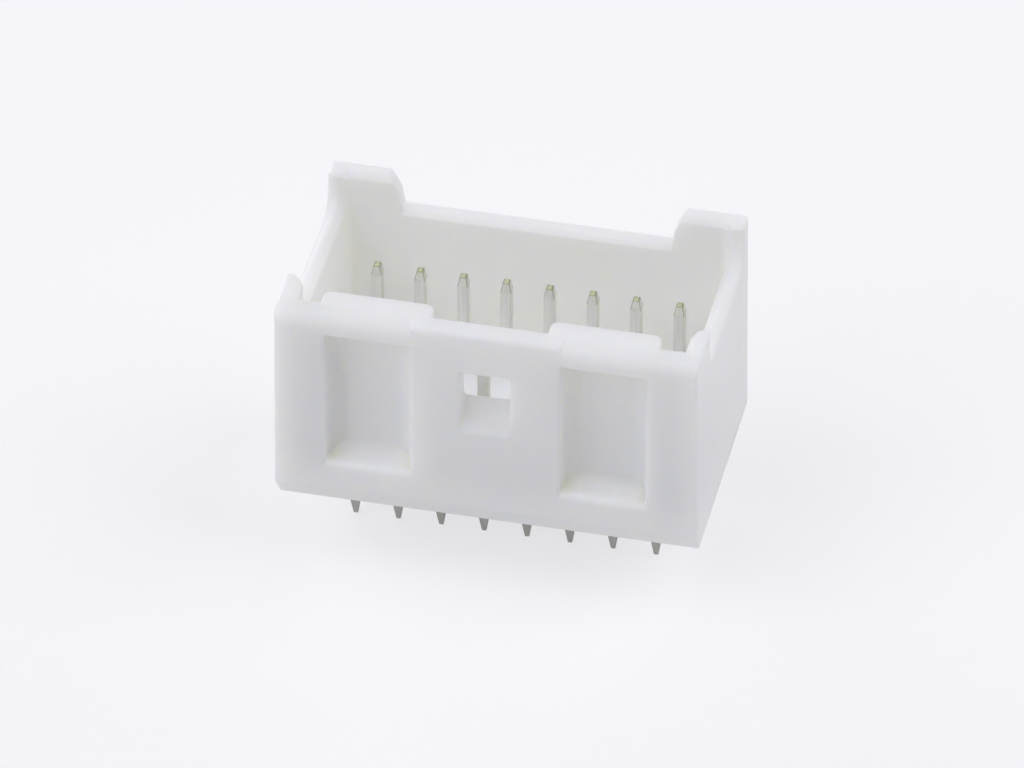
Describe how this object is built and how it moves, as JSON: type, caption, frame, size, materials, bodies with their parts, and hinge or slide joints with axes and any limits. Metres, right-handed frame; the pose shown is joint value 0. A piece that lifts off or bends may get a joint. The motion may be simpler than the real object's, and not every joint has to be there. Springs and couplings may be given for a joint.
{
  "type": "shrouded pin header",
  "caption": "White moulded board header with two rows of square pins inside a walled shroud, front pockets and a latch window.",
  "frame": {"origin": "middle of the housing, on the face that sits on the board", "axes": "+X along the rows of contacts, +Y to the back wall, +Z out of the board"},
  "size_m": [0.0194, 0.0116, 0.0143],
  "materials": {
    "housing": "satin moulded, natural white",
    "contacts": "tin plated, with bare cut ends"
  },
  "bodies": {
    "root": {"housing": "housing", "front_pin_1": "contacts", "front_pin_2": "contacts", "front_pin_3": "contacts", "front_pin_4": "contacts", "front_pin_5": "contacts", "front_pin_6": "contacts", "front_pin_7": "contacts", "front_pin_8": "contacts", "rear_pin_1": "contacts", "rear_pin_2": "contacts", "rear_pin_3": "contacts", "rear_pin_4": "contacts", "rear_pin_5": "contacts", "rear_pin_6": "contacts", "rear_pin_7": "contacts", "rear_pin_8": "contacts"}
  },
  "joints": []
}
